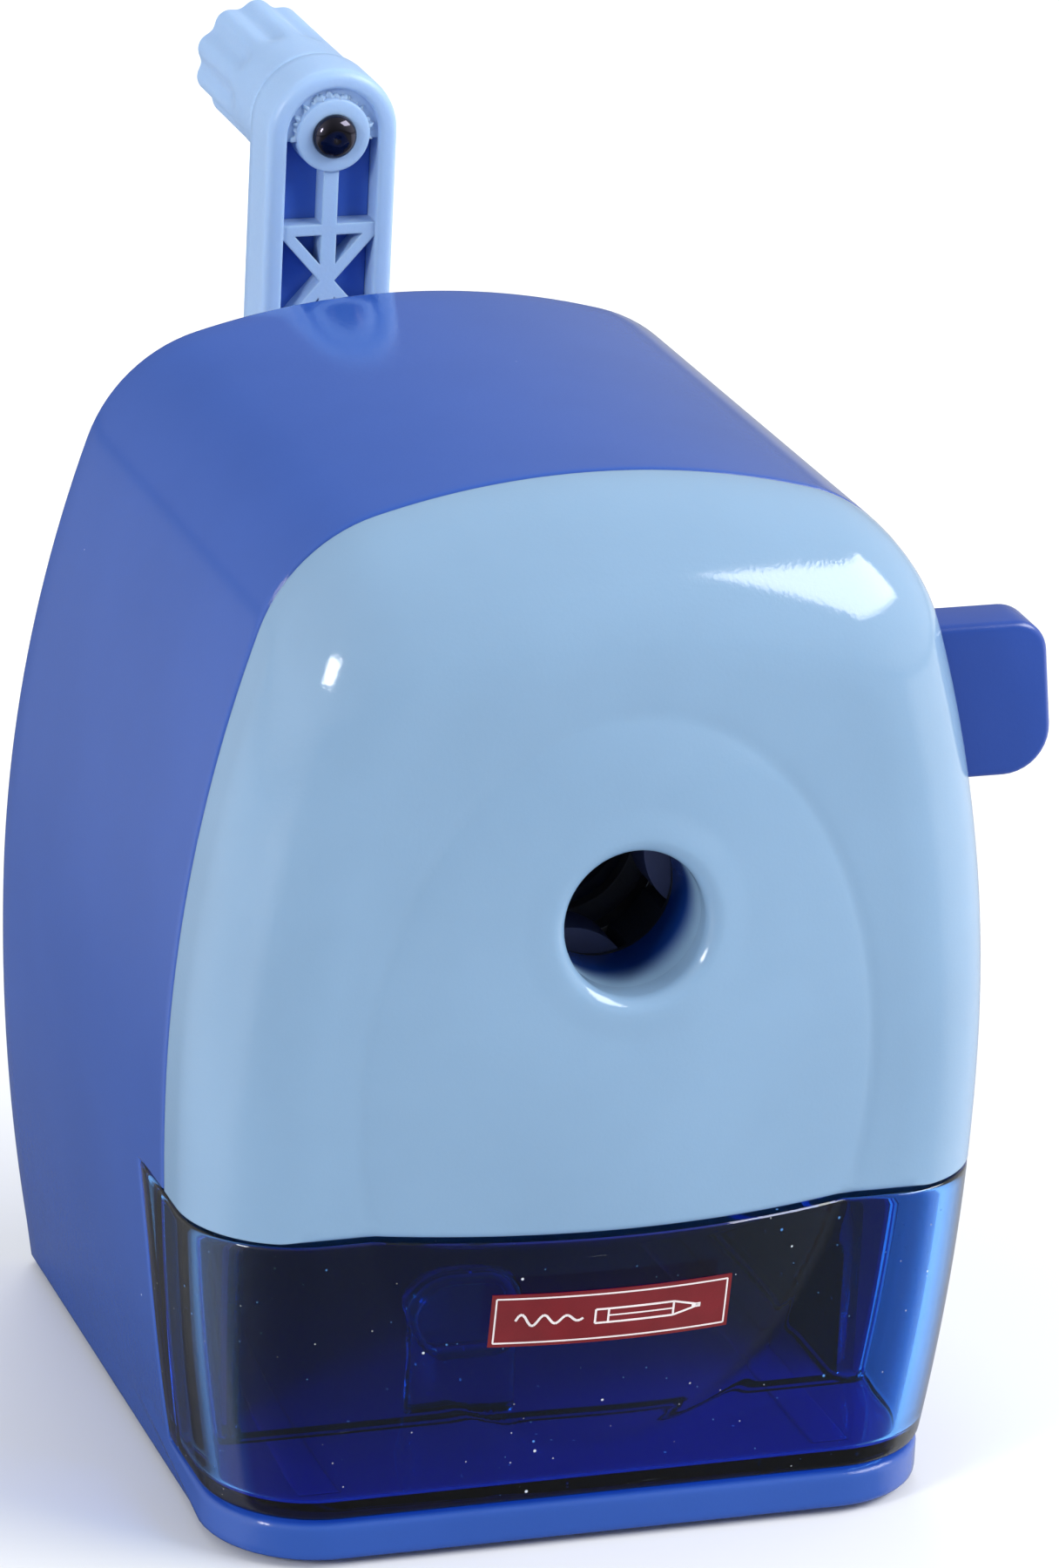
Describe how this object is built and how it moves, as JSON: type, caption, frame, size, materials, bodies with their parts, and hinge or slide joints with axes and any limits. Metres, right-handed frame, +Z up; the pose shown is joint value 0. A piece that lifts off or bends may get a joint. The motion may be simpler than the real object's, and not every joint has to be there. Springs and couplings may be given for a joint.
{
  "type": "crank pencil sharpener",
  "caption": "Desk pencil sharpener with a hand crank at the back, a helical cutter, a sprung pencil clamp that feeds the pencil, and a clear shavings drawer.",
  "frame": {"origin": "on the table under the middle of the body's footprint", "axes": "+X to the right seen from the front, +Y to the crank at the back, +Z up"},
  "size_m": [0.0861, 0.1305, 0.1184],
  "materials": {
    "body_blue": "glossy moulded",
    "pale_blue": "glossy moulded",
    "clear_blue": "clear polished",
    "arm_blue": "satin moulded",
    "deep_blue": "glossy moulded",
    "label_red": "printed, satin",
    "dark_plastic": "satin moulded",
    "grey_plastic": "satin moulded",
    "nylon": "satin",
    "steel": "turned",
    "spring_steel": "drawn wire",
    "bronze": "sintered",
    "zinc": "die-cast",
    "tool_steel": "hardened, ground",
    "foot_rubber": "matt"
  },
  "bodies": {
    "body": {"housing": "body_blue", "mechanism_frame": "grey_plastic", "frame_screws": "steel", "ring_gear": "nylon", "ring_screws": "steel", "shaft_bush": "bronze", "pencil_guide": "dark_plastic", "rod_bushes": "nylon", "rubber_feet": "foot_rubber"},
    "drawer": {"drawer": "clear_blue", "drawer_label": "label_red"},
    "feed_carriage": {"face_plate": "pale_blue", "guide_rods": "steel", "rod_collars": "dark_plastic", "feed_springs": "spring_steel", "clamp_body": "dark_plastic", "clamp_cover": "grey_plastic", "clamp_screws": "steel", "plate_screws": "steel", "button_spring": "spring_steel"},
    "release_button": {"release_button": "deep_blue"},
    "cam_ring": {"cam_ring": "zinc"},
    "jaw_1": {"jaw_1": "dark_plastic"},
    "jaw_2": {"jaw_2": "dark_plastic"},
    "jaw_3": {"jaw_3": "dark_plastic"},
    "crank": {"crank_arm": "arm_blue", "arm_cover": "deep_blue", "crank_screw": "steel", "thrust_washer": "steel", "crank_shaft": "steel", "cutter_carrier": "zinc", "cutter_axle": "steel", "grip_pin": "steel"},
    "cutter": {"cutter": "tool_steel", "cutter_pinion": "bronze"},
    "grip": {"grip": "arm_blue"}
  },
  "joints": [
    {"name": "drawer_slide", "type": "slide", "parent": "body", "child": "drawer", "axis": [0, -1, 0], "range_m": [0, 0.055]},
    {"name": "feed_slide", "type": "slide", "parent": "body", "child": "feed_carriage", "axis": [0, -1, 0], "range_m": [0, 0.026], "deforming": ["feed_springs"]},
    {"name": "button_press", "type": "slide", "parent": "feed_carriage", "child": "release_button", "axis": [-1, 0, 0], "range_m": [0, 0.008], "deforming": ["button_spring"]},
    {"name": "cam_turn", "type": "hinge", "parent": "feed_carriage", "child": "cam_ring", "pos_m": [0, -0.0228, 0.065], "axis": [0, -1, 0], "range_deg": [0, 25.5]},
    {"name": "jaw_1_slide", "type": "slide", "parent": "feed_carriage", "child": "jaw_1", "axis": [0.9659, 0, 0.2588], "range_m": [0, 0.0016]},
    {"name": "jaw_2_slide", "type": "slide", "parent": "feed_carriage", "child": "jaw_2", "axis": [-0.7071, 0, 0.7071], "range_m": [0, 0.0016]},
    {"name": "jaw_3_slide", "type": "slide", "parent": "feed_carriage", "child": "jaw_3", "axis": [-0.2588, 0, -0.9659], "range_m": [0, 0.0016]},
    {"name": "crank_turn", "type": "hinge", "parent": "body", "child": "crank", "pos_m": [0, 0.0378, 0.065], "axis": [0, 1, 0], "continuous": true},
    {"name": "cutter_spin", "type": "hinge", "parent": "crank", "child": "cutter", "pos_m": [0, 0.0215, 0.0698], "axis": [0, 0.9848, -0.1736], "continuous": true},
    {"name": "grip_spin", "type": "hinge", "parent": "crank", "child": "grip", "pos_m": [0, 0.08, 0.1115], "axis": [0, 1, 0], "continuous": true}
  ],
  "couplings": [
    {"joint": "cam_turn", "follows": "button_press", "rad_per_m": 55.556},
    {"joint": "jaw_1_slide", "follows": "button_press", "ratio": 0.2},
    {"joint": "jaw_2_slide", "follows": "button_press", "ratio": 0.2},
    {"joint": "jaw_3_slide", "follows": "button_press", "ratio": 0.2},
    {"joint": "cutter_spin", "follows": "crank_turn", "ratio": -1.75}
  ]
}
